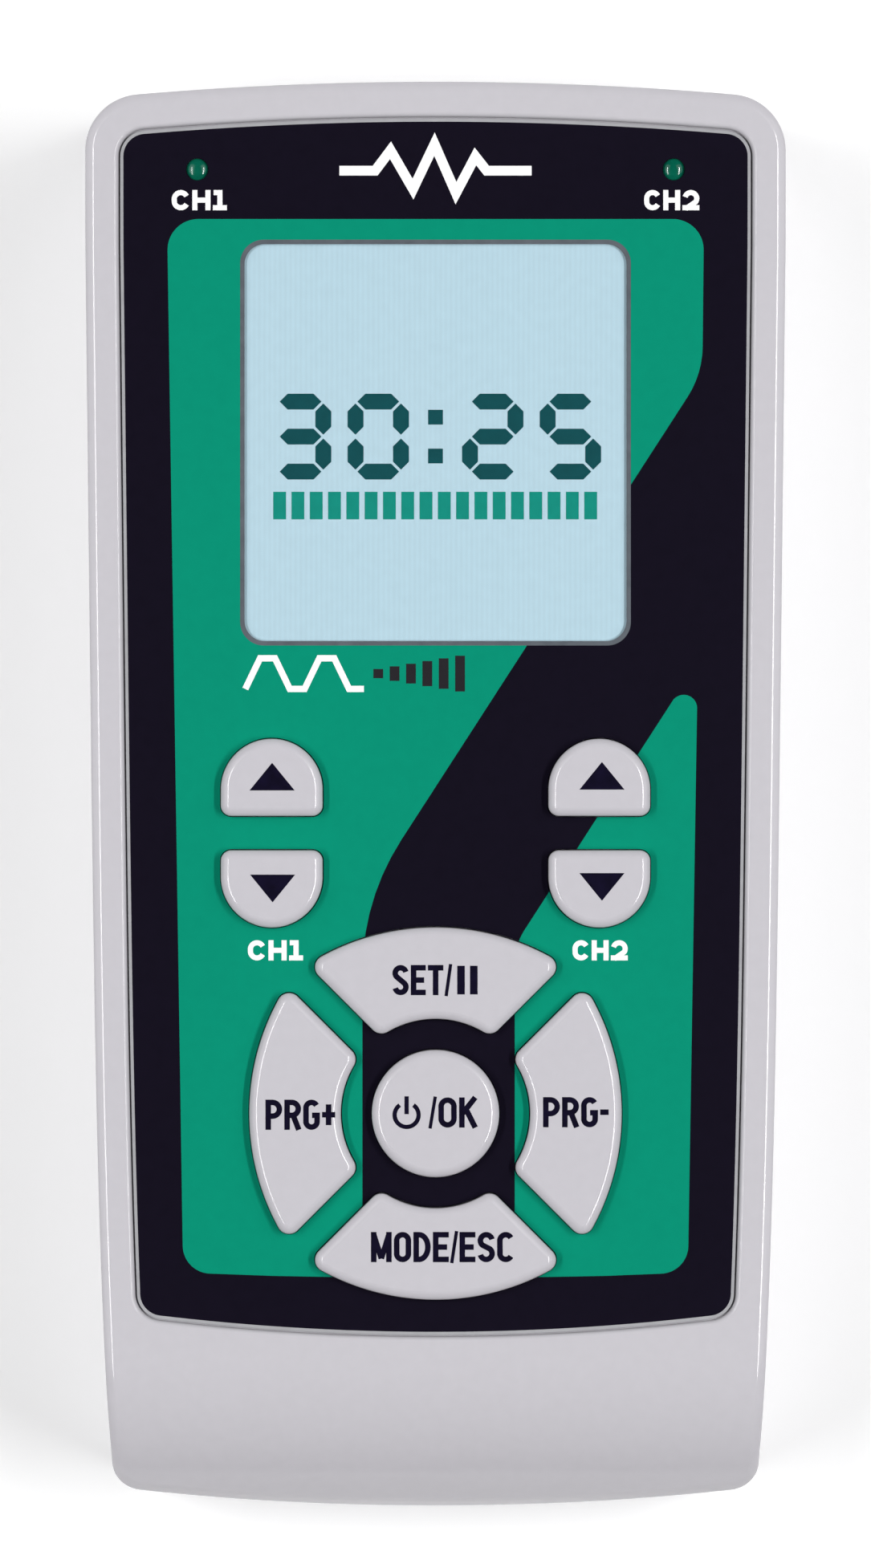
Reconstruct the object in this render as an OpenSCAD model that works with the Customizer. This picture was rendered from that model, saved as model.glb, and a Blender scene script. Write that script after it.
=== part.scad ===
// Handheld two-channel nerve stimulator, lying on its back.
// +X is the user's right, +Y points to the lead sockets, +Z points out of the key face.

/* [Case] */
// Length from the socket end to the battery end
case_length = 140; // [138:0.5:144]
// Greatest width, near the socket end
case_width = 68.5; // [67:0.5:70]
// Height of the rim above the back
rim_z = 28.8; // [28.6:0.1:29.2]
// Height of the seam between the two shells
seam_z = 17; // [16.5:0.1:17.4]
// Wall thickness of both shells
wall = 2.2; // [1.8:0.1:2.4]
// Rounding between the rim and the sides
rim_round = 1.6; // [0.8:0.1:2]
// Rounding between the back and the sides
back_round = 3.2; // [2:0.1:3.6]

/* [Keys] */
// Height of the key tops above the back
key_top_z = 30; // [29.6:0.1:30.6]
// How far a key goes down when pressed
key_travel = 0.5; // [0.3:0.1:0.6]
// Gap between a key and the edge of its hole
key_gap = 0.22; // [0.15:0.01:0.3]
// Radius of the round middle key
ok_key_r = 6.2; // [5.5:0.1:6.5]
// Reach of the ring keys from the middle of the ring
ring_outer_r = 18.17; // [17.7:0.1:18.5]
// Radius of the outer edge of each ring key
ring_arc_r = 23.2; // [20:0.1:26]
// Inner radius of the ring of four keys
ring_inner_r = 9.27; // [9:0.1:9.8]
// Width of the gap between neighbouring ring keys
ring_slot = 2.95; // [2.6:0.05:3.4]
// Width of a channel key
channel_key_w = 9.9; // [9:0.1:10.4]
// Length of a channel key
channel_key_l = 7.5; // [7:0.1:8]

/* [Display] */
// Width of the display window
window_w = 37.7; // [36:0.1:38]
// Length of the display window
window_l = 39.2; // [37:0.1:39.4]

/* [Sockets] */
// Radius of each output socket's bore
output_bore_r = 1.8; // [1.5:0.05:2]
// Radius of the charging socket's bore
charger_bore_r = 1.3; // [1.1:0.05:1.5]
// Depth of the bores
bore_depth = 12; // [10:0.5:13]

/* [Battery door] */
// Width of the door between its side tongues
door_w = 43; // [41:0.5:44]
// Thickness of the door
door_t = 2; // [1.8:0.1:2.1]

/* [Hidden] */
CHANNEL_KEYS = ["ch1_up", "ch1_down", "ch2_up", "ch2_down"];
RING_KEYS = ["set_pause", "prg_plus", "mode_esc", "prg_minus"];
KEYS = concat(CHANNEL_KEYS, RING_KEYS, ["power_ok"]);
$fn = 48;

case_color = "#d1ced5";
overlay_color = "#1c1924";
half_l = case_length / 2;
half_w = case_width / 2;
eps = 0.05;
// How far a cutting shape runs past the face it opens
past = 1;
// Clearance round a piece that sits in a shell
fit = 0.15;

// Plan outline: straight upper sides that draw in towards the battery end.
taper_y = 54.5;
side_taper = 1.4;
tail_pinch = 1.5;
// An end of an outline is [y on the centre line, bow radius, corner radius].
case_top = [half_l, 344, 5.5];
case_bottom = [-half_l, 238, 3];
overlay_inset = 3.72;
overlay_top = [half_l - 3.9, 340, 2.2];
overlay_bottom = [-52.3, 229, 2.2];
// Bare edge of the film outside its print, and the slope of the rim outside that
overlay_border = 0.3;
overlay_lip = 0.5;

// Face curve: flat, then rolling over towards the battery end.
tail_y = -55;
tail_r = 16.2;

// Heights of the stacked parts
plate_z = 25.6;
recess_z = 27.8;
overlay_z = 28.2;
flange_z = 24.3;
flange_t = 1.2;
flange_w = 0.7;
key_deck_t = 1.4;
key_wall = 1.1;
key_step = [0.45, 0.4];
key_stem_r = 1.5;
board_z = 17.4;
board_t = 1.6;
board_top = board_z + board_t;
switch_h = 3.5;
switch_w = 6;
cover_t = 0.3;
plunger_r = 1.7;
plunger_low = board_top + 2.9;
plunger_top = board_top + 4.6;
glass_z = 21.4;
glass_t = 2.4;
window_flange = [1.9, 1];
seam_lip_h = 2.1;

// Places on the face
cluster_y = -30.9;
channel_x = 16;
channel_y = -3.5;
channel_gap = 3.4;
ring_mid_r = (ring_outer_r + ring_inner_r) / 2;
ring_tip_r = 1.15;
window_y = 34.7;
led_pos = [23.3, 61.44];
led_r = 1.1;
led_lens_r = 0.95;
led_base = [1.45, 5.5];
led_top_z = overlay_z - 0.4;

// Sockets in the top end
socket_x = 23.3;
socket_z = 11.5;
nose_r = 3.2;
jack_l = 15;
jack_half = 4.6;
charger_half = 3.9;
contact_y = [50.3, 53.5];

// Screws
case_screw_x = [29, 26.9];
case_screw_y = [48, -58];
board_screws_y = [8, -46];
board_screw_x = 23.6;
boss_top = plate_z + 0.4;
boss_r = 2.9;
well_r = 3.8;
board_boss_r = 2.4;
screw_r = 1.1;
screw_hole_r = 1.16;
head_r = 2.2;
counterbore_r = 2.6;
counterbore_z = 9;
front_screw_hole = 6.6;
board_screw_hole = 4.5;

// Battery bay
bay_x = 21.5;
bay_top_y = -12.4;
bay_end_y = -66.4;
bay_ceiling = 13.8;
rib_t = 1.4;
rib_top = bay_ceiling + 1.2;
lead_gap = [9, 12];
door_frame_x = 27;
rail_t = 1.35;
door_top_y = -12;
tongue_w = 1.3;
tongue_z = 1.05;
tongue_t = 0.8;
groove_y = -61;
groove_step = 2;
groove = [9, 1, 0.5];
cell_r = 5.25;
cell_l = 44;
cell_y = -59.6;
cell_z = 8;
cell_xs = [for (i = [0:3]) (2 * i - 3) * cell_r];
link_t = 0.25;
lead_x = 0.8;
lead_y = cell_y + cell_l + 0.8;
lead_t = 1.2;
lead_z = 9.6;
lead_end_y = -6.4;
plug_z = 12.4;
label_size = [40, 34];
label_y = 24;
label_recess = 0.35;
label_t = 0.27;

// Pieces on the board: x range, y range and height, or centre, radius and height
board_x = [-25.8, 25.8];
board_y = [-50, 64.6];
backlight = [[-20, 20], [17, 56]];
contact_strip = [[-18, 18], [13.4, 15.6]];
chip = [[-6, 6], [-10, 2], 1.5];
coil = [[-12, 22], 4.5, 5];
transformer_core = [[8, 20], [32, 44], 9];
transformer_base = [[6.5, 21.5], [33, 43], 2];
capacitor_places = [[0, 24], [0, 36], [-4, 8]];
capacitor_size = [3.2, 10];
transistor_x = [20, 25];
transistor_ys = [12, 20];
transistor_size = [6, 2];
buzzer_size = [[12, 20], 6, 6];
plug_box = [[-3, 3], [-9, -3.4], 3];
socket_box = [[-4, 4], [-10, -2.6]];

// ---------- outlines ----------

function side_t(y) = max(0, (taper_y - y) / (taper_y + half_l));
function side_x(y) = half_w - side_taper * side_t(y) - tail_pinch * pow(side_t(y), 6);
function side_slope(y) =
    (side_taper + 6 * tail_pinch * pow(side_t(y), 5)) * (side_t(y) > 0 ? 1 : 0) / (taper_y + half_l);
function side_angle(y) = atan(side_slope(y));
function side_point(y, inset) =
    [side_x(y) - inset * cos(side_angle(y)), y + inset * sin(side_angle(y))];

function arc(c, r, a, b, n) = [for (i = [0:n]) c + r * [cos(a + (b - a) * i / n), sin(a + (b - a) * i / n)]];

// Centre of the corner arc that joins the side at x to a bow of radius end[1].
function corner_x(inset, r, y) = side_x(y) - (inset + r) * cos(side_angle(y));
function top_corner(inset, end) =
    let (x = corner_x(inset, end[2], end[0]))
    [x, end[0] - end[1] + sqrt(pow(end[1] - end[2], 2) - x * x)];
function bottom_side_y(inset, end) =
    end[0] + end[2] + pow(half_w - inset - end[2] - 2, 2) / (2 * end[1]);
function bottom_corner(inset, end) =
    let (x = corner_x(inset, end[2], bottom_side_y(inset, end)))
    [x, end[0] + end[1] - sqrt(pow(end[1] - end[2], 2) - x * x)];

// Right half of an outline, from the centre of the top edge round to the centre of the bottom edge.
function half_outline(inset, top, bottom) =
    let (
        tc = top_corner(inset, top),
        bc = bottom_corner(inset, bottom),
        ta = atan2(tc[1] - top[0] + top[1], tc[0]),
        ba = atan2(bottom[0] + bottom[1] - bc[1], bc[0]),
        sa = side_angle(bottom_side_y(inset, bottom)),
        side_low = bc[1] - bottom[2] * sin(sa),
        knee = max(tail_y, side_low + 4)
    )
    concat(
        arc([0, top[0] - top[1]], top[1], 90 - (90 - ta) / 8, 90 - (90 - ta) * 7 / 8, 3),
        arc(tc, top[2], ta, 0, 6),
        [for (i = [1:5]) side_point(tc[1] + (knee - tc[1]) * i / 5, inset)],
        [for (i = [1:4]) side_point(knee + (side_low - knee) * i / 5, inset)],
        arc(bc, bottom[2], -sa, -ba, 5),
        arc([0, bottom[0] + bottom[1]], bottom[1], -90 + (90 - ba) * 7 / 8, -90 + (90 - ba) / 8, 3)
    );
function mirrored(points) = [for (i = [len(points) - 1:-1:0]) [-points[i][0], points[i][1]]];
function outline(inset, top, bottom) =
    let (h = half_outline(inset, top, bottom)) concat(h, mirrored(h));
function shrunk(end, inset, up) = [end[0] - up * inset, end[1] - inset, max(end[2] - inset, 0.6)];
function case_outline(inset) = outline(inset, shrunk(case_top, inset, 1), shrunk(case_bottom, inset, -1));
function overlay_outline(inset) =
    outline(overlay_inset + inset, shrunk(overlay_top, inset, 1), shrunk(overlay_bottom, inset, -1));

function tail_drop(y) = y > tail_y ? 0 : tail_r - sqrt(pow(tail_r, 2) - pow(tail_y - y, 2));
function at_height(points, z, follow) = [for (p = points) [p[0], p[1], z - follow * tail_drop(p[1])]];

// Closed solid through a stack of outlines with matching points; its caps are strips across X.
module ring_solid(rings) {
    n = len(rings[0]);
    last = (len(rings) - 1) * n;
    walls = [
        for (r = [0:len(rings) - 2], i = [0:n - 1])
            let (a = r * n + i, b = r * n + (i + 1) % n)
            each [[a, b, b + n], [a, b + n, a + n]]
    ];
    low_cap = [for (i = [0:n / 2 - 2]) [i, n - 1 - i, n - 2 - i, i + 1]];
    high_cap = [for (i = [0:n / 2 - 2]) [last + i, last + i + 1, last + n - 2 - i, last + n - 1 - i]];
    polyhedron(points = [for (r = rings) each r], faces = concat(walls, low_cap, high_cap), convexity = 4);
}

module prism(points, z, h) translate([0, 0, z]) linear_extrude(h) polygon(points);
module block(x, y, z) translate([x[0], y[0], z[0]]) cube([x[1] - x[0], y[1] - y[0], z[1] - z[0]]);
module post(p, r, z, h) translate([p[0], p[1], z]) cylinder(r = r, h = h);
module both_sides() for (s = [0, 1]) mirror([s, 0, 0]) children();
// Cylinder along -Y from the point p
module rod(p, r, l) translate(p) rotate([90, 0, 0]) cylinder(r = r, h = l);
module box_on(p, size) translate([p[0] - size[0] / 2, p[1] - size[1] / 2, p[2]]) cube(size);

// ---------- shells ----------

module front_body() {
    steps = [for (i = [0:4]) i * 22.5];
    ring_solid(concat(
        [at_height(case_outline(0), seam_z, 0)],
        [for (a = steps)
            at_height(case_outline(rim_round * (1 - cos(a))), rim_z - rim_round * (1 - sin(a)), 1)]
    ));
}

// Room under the face: flat, then following the tail's curve.
module front_cavity() {
    intersection() {
        prism(case_outline(wall), seam_z - past, plate_z - seam_z + past);
        rotate([90, 0, 90])
            translate([0, 0, -half_w])
                linear_extrude(case_width)
                    union() {
                        translate([tail_y, 0]) square([half_l - tail_y, plate_z]);
                        translate([tail_y, rim_z - tail_r]) circle(r = plate_z - rim_z + tail_r, $fn = 96);
                    }
    }
    prism(case_outline(wall / 2), seam_z - past, seam_lip_h);
}

module overlay_recess() {
    ring_solid([
        at_height(overlay_outline(-overlay_border - fit), recess_z, 0),
        at_height(overlay_outline(-overlay_border - fit), overlay_z, 0),
        at_height(overlay_outline(-overlay_border - fit - overlay_lip), rim_z + eps, 0)
    ]);
}

module channel_key_shape(grow) {
    c = channel_key_l + channel_gap / 2 - channel_key_w / 2;
    intersection() {
        translate([0, c]) circle(r = channel_key_w / 2 + grow);
        translate([-channel_key_w, c]) square(2 * channel_key_w);
    }
    translate([-channel_key_w / 2 - grow, channel_gap / 2 - grow])
        square([channel_key_w + 2 * grow, c + eps - channel_gap / 2 + grow]);
}

module ring_key_shape(grow) {
    reach = 2 * ring_outer_r;
    apex = ring_slot / sqrt(2);
    offset(r = grow + ring_tip_r, $fn = 24)
        offset(delta = -ring_tip_r)
            intersection() {
                difference() {
                    translate([0, ring_outer_r - ring_arc_r]) circle(r = ring_arc_r, $fn = 120);
                    circle(r = ring_inner_r, $fn = 64);
                }
                polygon([[0, apex], [reach, apex + reach], [-reach, apex + reach]]);
            }
}

// Places the outline of key k, grown all round.
module key_shape(k, grow) {
    if (k < 4)
        translate([channel_x * (k < 2 ? -1 : 1), channel_y]) rotate(180 * (k % 2)) channel_key_shape(grow);
    else if (k < 8)
        translate([0, cluster_y]) rotate(90 * (k - 4)) ring_key_shape(grow);
    else
        translate([0, cluster_y]) circle(r = ok_key_r + grow);
}

// Centre of the switch under key k
function key_centre(k) =
    k < 4
    ? [channel_x * (k < 2 ? -1 : 1), channel_y + (1 - 2 * (k % 2)) * (channel_gap + channel_key_l) / 2]
    : k < 8 ? [-ring_mid_r * sin(90 * (k - 4)), cluster_y + ring_mid_r * cos(90 * (k - 4))]
    : [0, cluster_y];

module key_holes(z, h, grow) for (k = [0:8]) translate([0, 0, z]) linear_extrude(h) key_shape(k, grow);
module led_holes(z, h) both_sides() post(led_pos, led_r, z, h);

module window_block(grow, z, h)
    translate([-window_w / 2 - grow, window_y - window_l / 2 - grow, z])
        cube([window_w + 2 * grow, window_l + 2 * grow, h]);

module case_screw_places()
    both_sides()
        for (i = [0, 1]) translate([case_screw_x[i], case_screw_y[i]]) children();
module board_screw_places()
    both_sides()
        for (y = board_screws_y) translate([board_screw_x, y]) children();

module front_case() color(case_color) {
    cut_z = plate_z - past;
    cut_h = rim_z - plate_z + past;
    difference() {
        union() {
            difference() {
                front_body();
                front_cavity();
            }
            case_screw_places() post([0, 0], boss_r, seam_z, boss_top - seam_z);
            board_screw_places() post([0, 0], board_boss_r, board_top, boss_top - board_top);
        }
        overlay_recess();
        key_holes(cut_z, cut_h, key_gap);
        window_block(fit, cut_z, cut_h);
        led_holes(cut_z, cut_h);
        case_screw_places() post([0, 0], screw_hole_r, seam_z - past, front_screw_hole + past);
        board_screw_places() post([0, 0], screw_hole_r, board_top - past, board_screw_hole + past);
    }
}

module rear_body() {
    ring_solid(concat(
        [for (i = [0:4])
            at_height(case_outline(back_round * (1 - sin(i * 22.5))), back_round * (1 - cos(i * 22.5)), 0)],
        [at_height(case_outline(0), seam_z, 0)]
    ));
}

module door_space(grow) {
    low_y = -half_l - past;
    top_y = door_top_y + grow;
    reach = door_w / 2 + grow;
    block([-reach, reach], [low_y, top_y], [-past, door_t + grow]);
    block(
        [-reach - tongue_w, reach + tongue_w],
        [low_y, top_y],
        [tongue_z - grow / 2, tongue_z + tongue_t + grow / 2]
    );
}

// Thick frame that holds the grooves of the door
module door_rails() {
    rail_z = tongue_z + tongue_t + rail_t;
    intersection() {
        prism(case_outline(0.5), 0.5, rail_z);
        block([-door_frame_x, door_frame_x], [-half_l, door_top_y + 2], [1, rail_z]);
    }
}

// Three walls and the ceiling round the battery
module bay_walls() {
    low_y = -half_l + wall;
    top_y = bay_top_y + rib_t;
    outer_x = bay_x + rib_t;
    both_sides() block([bay_x, outer_x], [low_y, top_y], [wall, rib_top]);
    block([-bay_x, bay_x], [bay_top_y, top_y], [wall, rib_top]);
    block([-outer_x, outer_x], [low_y, top_y], [bay_ceiling, rib_top]);
}

// Lip that stands inside the front shell
module seam_lip()
    difference() {
        prism(case_outline(wall / 2 + 0.1), seam_z - 1, 2);
        prism(case_outline(wall), seam_z - 2, 4);
    }

module socket_hole(x) rod([x, half_l + past, socket_z], nose_r + fit, 5);
module label_block(grow, z, h)
    box_on([0, label_y, z], [label_size[0] + 2 * grow, label_size[1] + 2 * grow, h]);

module rear_case() color(case_color) {
    difference() {
        union() {
            difference() {
                rear_body();
                prism(case_outline(wall), wall, seam_z);
            }
            door_rails();
            bay_walls();
            case_screw_places() post([0, 0], well_r, 1, seam_z - 1);
            seam_lip();
        }
        block([-bay_x, bay_x], [bay_end_y, bay_top_y], [door_t, bay_ceiling]);
        door_space(fit);
        block([-5, 5], [bay_top_y - past, bay_top_y + rib_t + past], lead_gap);
        case_screw_places() post([0, 0], counterbore_r, -past, counterbore_z + past);
        case_screw_places() post([0, 0], screw_hole_r, 0, seam_z + past);
        label_block(fit, -past, label_recess + past);
        for (x = [-socket_x, 0, socket_x]) socket_hole(x);
    }
}

module battery_door() color(case_color) {
    difference() {
        intersection() {
            rear_body();
            door_space(0);
        }
        for (i = [0:5])
            translate([0, groove_step * i, 0])
                block([-groove[0], groove[0]], [groove_y, groove_y + groove[1]], [-past, groove[2]]);
    }
}

// ---------- face ----------

module face_overlay() color(overlay_color) {
    cut_z = recess_z - past;
    cut_h = overlay_z - recess_z + 2 * past;
    difference() {
        prism(overlay_outline(-overlay_border), recess_z, overlay_z - recess_z);
        key_holes(cut_z, cut_h, key_gap + 0.06);
        window_block(fit, cut_z, cut_h);
        led_holes(cut_z, cut_h);
    }
}

module display_window() color("#bfe0e8", 0.6) {
    window_block(0, plate_z - eps, overlay_z - plate_z + eps);
    window_block(window_flange[0], plate_z - window_flange[1], window_flange[1]);
}

module key_layer(k, z, h, grow) translate([0, 0, z]) linear_extrude(h) key_shape(k, grow);

module key_cap(k) {
    deck_z = key_top_z - key_deck_t;
    step_z = key_top_z - key_step[0];
    difference() {
        union() {
            key_layer(k, flange_z, step_z - flange_z, 0);
            key_layer(k, step_z - eps, key_step[0] + eps, -key_step[1]);
            key_layer(k, flange_z, flange_t, flange_w);
        }
        key_layer(k, flange_z - past, deck_z - flange_z + past, -key_wall);
    }
    post(key_centre(k), key_stem_r, plunger_top, deck_z - plunger_top + 0.3);
}

module plunger(k) color("#202022") post(key_centre(k), plunger_r, plunger_low, plunger_top - plunger_low);

module switch_layer(k, z, w, h) box_on(concat(key_centre(k), [z]), [w, w, h]);

module key_switches() color("#26262a")
    for (k = [0:8])
        difference() {
            switch_layer(k, board_top, switch_w, switch_h);
            post(key_centre(k), plunger_r + fit, plunger_low - key_travel - 0.1, switch_h);
        }

module switch_covers() color("#c8c8cc")
    for (k = [0:8])
        difference() {
            switch_layer(k, board_top + switch_h, switch_w + 0.1, cover_t);
            post(key_centre(k), plunger_r + 2 * fit, board_top, 2 * switch_h);
        }

// ---------- display ----------

module display_ring(outer, inner, z, h)
    difference() {
        window_block(outer, z, h);
        window_block(inner, z - past, h + 2 * past);
    }
module display_gasket() color("#303034")
    display_ring(1.6, 0.4, glass_z + glass_t, plate_z - window_flange[1] - glass_z - glass_t);
module lcd_glass() color("#9fc4cc", 0.7) window_block(2.4, glass_z, glass_t);
module lcd_backlight() color("#f2f4f4") block(backlight[0], backlight[1], [board_top + 0.2, glass_z]);
module lcd_frame() color("#3a3a3e") display_ring(3.6, 2.5, board_top, glass_z + glass_t - board_top);
module lcd_contact_strip() color("#d9a6a6") block(contact_strip[0], contact_strip[1], [board_top, glass_z]);

// ---------- board ----------

module main_board() color("#1f6b3c") {
    difference() {
        block(board_x, board_y, [board_z, board_top]);
        board_screw_places() post([0, 0], screw_r + 0.2, board_z - past, board_t + 2 * past);
    }
}

module led() color("#1d4f43") {
    dome_z = led_top_z - led_lens_r;
    post(led_pos, led_base[0], board_top, led_base[1]);
    post(led_pos, led_lens_r, board_top, dome_z - board_top);
    translate([led_pos[0], led_pos[1], dome_z]) sphere(r = led_lens_r);
}
module led_ch2() led();
module led_ch1() mirror([1, 0, 0]) led();

// Socket body under the board with a round nose in the end wall
module jack(x, bore_r, half) color("#232326") {
    mouth_y = half_l - 1.5;
    inside_y = half_l - 4;
    difference() {
        union() {
            block([x - half, x + half], [mouth_y - jack_l, inside_y], [socket_z - half, board_z]);
            rod([x, mouth_y, socket_z], nose_r, 6);
        }
        rod([x, mouth_y + past, socket_z], bore_r, bore_depth + past);
    }
}
module output_jack_ch1() jack(-socket_x, output_bore_r, jack_half);
module output_jack_ch2() jack(socket_x, output_bore_r, jack_half);
module charger_jack() jack(0, charger_bore_r, charger_half);

module jack_contacts() color("#c9b37a")
    both_sides() block([socket_x - 1, socket_x + 1], contact_y, [socket_z - 3, board_z]);

module microcontroller() color("#18181a") block(chip[0], chip[1], [board_top, board_top + chip[2]]);

module boost_coil() color("#2c2c30") post(coil[0], coil[1], board_z - coil[2], coil[2]);

module pulse_transformers() color("#b8863b") {
    base_z = board_z - transformer_base[2];
    both_sides() {
        block(transformer_core[0], transformer_core[1], [board_z - transformer_core[2], base_z]);
        block(transformer_base[0], transformer_base[1], [base_z, board_z]);
    }
}

module capacitors() color("#30384a")
    for (p = capacitor_places) post(p, capacitor_size[0], board_z - capacitor_size[1], capacitor_size[1]);

module power_transistors() color("#1b1b1d")
    both_sides()
        for (y = transistor_ys)
            block(transistor_x, [y, y + transistor_size[0]], [board_z - transistor_size[1], board_z]);

module buzzer() color("#1e1e20")
    difference() {
        post(buzzer_size[0], buzzer_size[1], board_z - buzzer_size[2], buzzer_size[2]);
        post(buzzer_size[0], 1, board_z - buzzer_size[2] - past, 2 * past);
    }

// ---------- battery ----------

module battery_cells() color("#9aa0a8")
    for (x = cell_xs) {
        rod([x, cell_y + cell_l, cell_z], cell_r, cell_l);
        rod([x, lead_y, cell_z], 1.9, 1);
    }

module pack_shape(grow) {
    for (x = cell_xs) translate([x, cell_z]) circle(r = cell_r + grow);
    translate([cell_xs[0], cell_z - cell_r - grow]) square([cell_xs[3] - cell_xs[0], 2 * (cell_r + grow)]);
}
module battery_wrap() color("#2b6cb0")
    translate([0, cell_y + cell_l - 0.6, 0])
        rotate([90, 0, 0])
            linear_extrude(cell_l - 1.2)
                difference() {
                    pack_shape(0.22);
                    pack_shape(0.02);
                }

// Nickel strips joining the cells in series, with a tab at each end of the chain
module link(first, last, y)
    block([cell_xs[first] - 1.5, cell_xs[last] + 1.5], [y, y + link_t], [cell_z - 2, cell_z + 2]);
module battery_links() color("#d8d8da") {
    link(0, 1, cell_y - link_t);
    link(2, 3, cell_y - link_t);
    for (ends = [[0, 0], [1, 2], [3, 3]]) link(ends[0], ends[1], lead_y);
}

// A lead runs across the links, along the bay's opening and up into the plug.
module battery_leads() color("#b03030") {
    start_y = lead_y + link_t;
    lead_xs = [lead_x, lead_x + lead_t];
    top_z = lead_z + lead_t;
    both_sides() {
        block([lead_x, cell_xs[3]], [start_y, start_y + lead_t], [lead_z, top_z]);
        block(lead_xs, [start_y, lead_end_y + lead_t], [lead_z, top_z]);
        block(lead_xs, [lead_end_y, lead_end_y + lead_t], [top_z, plug_z]);
    }
}
module battery_plug() color("#ececec") block(plug_box[0], plug_box[1], [plug_z, plug_z + plug_box[2]]);
module battery_socket() color("#f4f4f0") block(socket_box[0], socket_box[1], [plug_z + plug_box[2], board_z]);

// ---------- fasteners and trim ----------

// Screw with its head down, its shank up and a cross recess in the head
module screw(head_z, length, head_h) {
    slot_l = 3;
    slot_w = 0.5;
    slot_h = 1.6;
    difference() {
        post([0, 0], head_r, head_z, head_h);
        box_on([0, 0, head_z - past], [slot_l, slot_w, slot_h]);
        box_on([0, 0, head_z - past], [slot_w, slot_l, slot_h]);
    }
    post([0, 0], screw_r, head_z + head_h - 0.1, length + 0.1);
}
module case_screws() color("#b9bbc0") case_screw_places() screw(counterbore_z - 1.8, 13.5, 1.8);
module board_screws() color("#b9bbc0") board_screw_places() screw(board_z - 1.6, 5.5, 1.6);

module rating_label() color("#e9e9ec") label_block(0, label_recess - label_t, label_t);

// ---------- parts ----------

front_case();
rear_case();
battery_door();
face_overlay();
display_window();
display_gasket();
lcd_glass();
lcd_backlight();
lcd_frame();
lcd_contact_strip();
for (k = [0:8]) color(case_color) key_cap(k);
for (k = [0:8]) plunger(k);
key_switches();
switch_covers();
main_board();
led_ch1();
led_ch2();
output_jack_ch1();
output_jack_ch2();
charger_jack();
jack_contacts();
microcontroller();
boost_coil();
pulse_transformers();
capacitors();
power_transistors();
buzzer();
battery_cells();
battery_wrap();
battery_links();
battery_leads();
battery_plug();
battery_socket();
case_screws();
board_screws();
rating_label();
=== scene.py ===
"""Looks for the handheld nerve stimulator: shells, printed face, display, keys and materials."""

import math

import bmesh
import bpy
from mathutils import Matrix, Vector


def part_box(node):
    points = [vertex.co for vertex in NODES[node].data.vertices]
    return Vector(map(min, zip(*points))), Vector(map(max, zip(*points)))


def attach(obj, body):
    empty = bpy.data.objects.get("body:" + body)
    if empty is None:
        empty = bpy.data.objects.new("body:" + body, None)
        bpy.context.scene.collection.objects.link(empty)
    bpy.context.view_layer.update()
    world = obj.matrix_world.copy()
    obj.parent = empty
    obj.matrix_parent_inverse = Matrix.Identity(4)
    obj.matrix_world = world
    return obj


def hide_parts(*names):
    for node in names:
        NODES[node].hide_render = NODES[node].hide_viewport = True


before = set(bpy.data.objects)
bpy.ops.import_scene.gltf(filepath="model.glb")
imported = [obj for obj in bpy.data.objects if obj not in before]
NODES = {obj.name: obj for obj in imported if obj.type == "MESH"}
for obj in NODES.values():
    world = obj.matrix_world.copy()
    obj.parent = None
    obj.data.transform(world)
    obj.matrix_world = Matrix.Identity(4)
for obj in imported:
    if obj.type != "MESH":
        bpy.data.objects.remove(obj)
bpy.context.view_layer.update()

MM = 0.001

# ---------- sizes, in millimetres, worked out from the frame ----------


def box_mm(name):
    low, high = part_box(name)
    return [v / MM for v in low], [v / MM for v in high]


FRONT_LOW, FRONT_HIGH = box_mm("front_case")
FILM_LOW, FILM_HIGH = box_mm("face_overlay")
WINDOW_LOW = box_mm("display_window")[0]
HALF_L = round(FRONT_HIGH[1], 1)
HALF_W = FRONT_HIGH[0]
SEAM_Z = FRONT_LOW[2]
RIM_Z = FRONT_HIGH[2]
FILM_Z = FILM_HIGH[2]
FLOOR_Z = FILM_LOW[2]
WALL = 2.2
PLATE_Z = FLOOR_Z - WALL
KEY_TOP_Z = box_mm("key_power_ok")[1][2]
KEY_LOW_Z = box_mm("key_power_ok")[0][2]
CLUSTER_Y = sum(v[1] for v in box_mm("key_power_ok")) / 2

BACK_ROUND = 3.2
SEAM_ROUND = 0.25
# The sides narrow below TAPER_Y, and once more close to the lower end
TAPER_Y = 54.5
SIDE_TAPER = 1.4
TAIL_PINCH = 1.5
# Each end of an outline: how far out it reaches, the radius of its bow and the radius of its corners
CASE_TOP = (HALF_L, 344.0, 5.5)
CASE_BOTTOM = (-HALF_L, 238.0, 3.0)
FILM_INSET = 3.72
FILM_TOP = (HALF_L - 3.9, 340.0, 2.2)
FILM_BOTTOM = (-52.3, 229.0, 2.2)
# The face rolls down below TAIL_Y
TAIL_Y = -55.0
TAIL_R = 16.2
FILM_BORDER = 0.3

LIP_GAP = 0.15
LIP_ROUND = 0.5
# Slope in degrees of the rim's and the keys' edges, against the distance in from the side
RIM_SLOPES = [
    (0.0, 90), (0.02, 62), (0.08, 40), (0.2, 30), (0.4, 24), (0.58, 20), (0.68, 16.5), (0.84, 11.5),
    (0.92, 0),
]
KEY_SLOPES = [(0.0, 90), (0.03, 62), (0.12, 44), (0.3, 35), (0.48, 26), (0.62, 17), (0.78, 11.5), (0.86, 0)]

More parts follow.
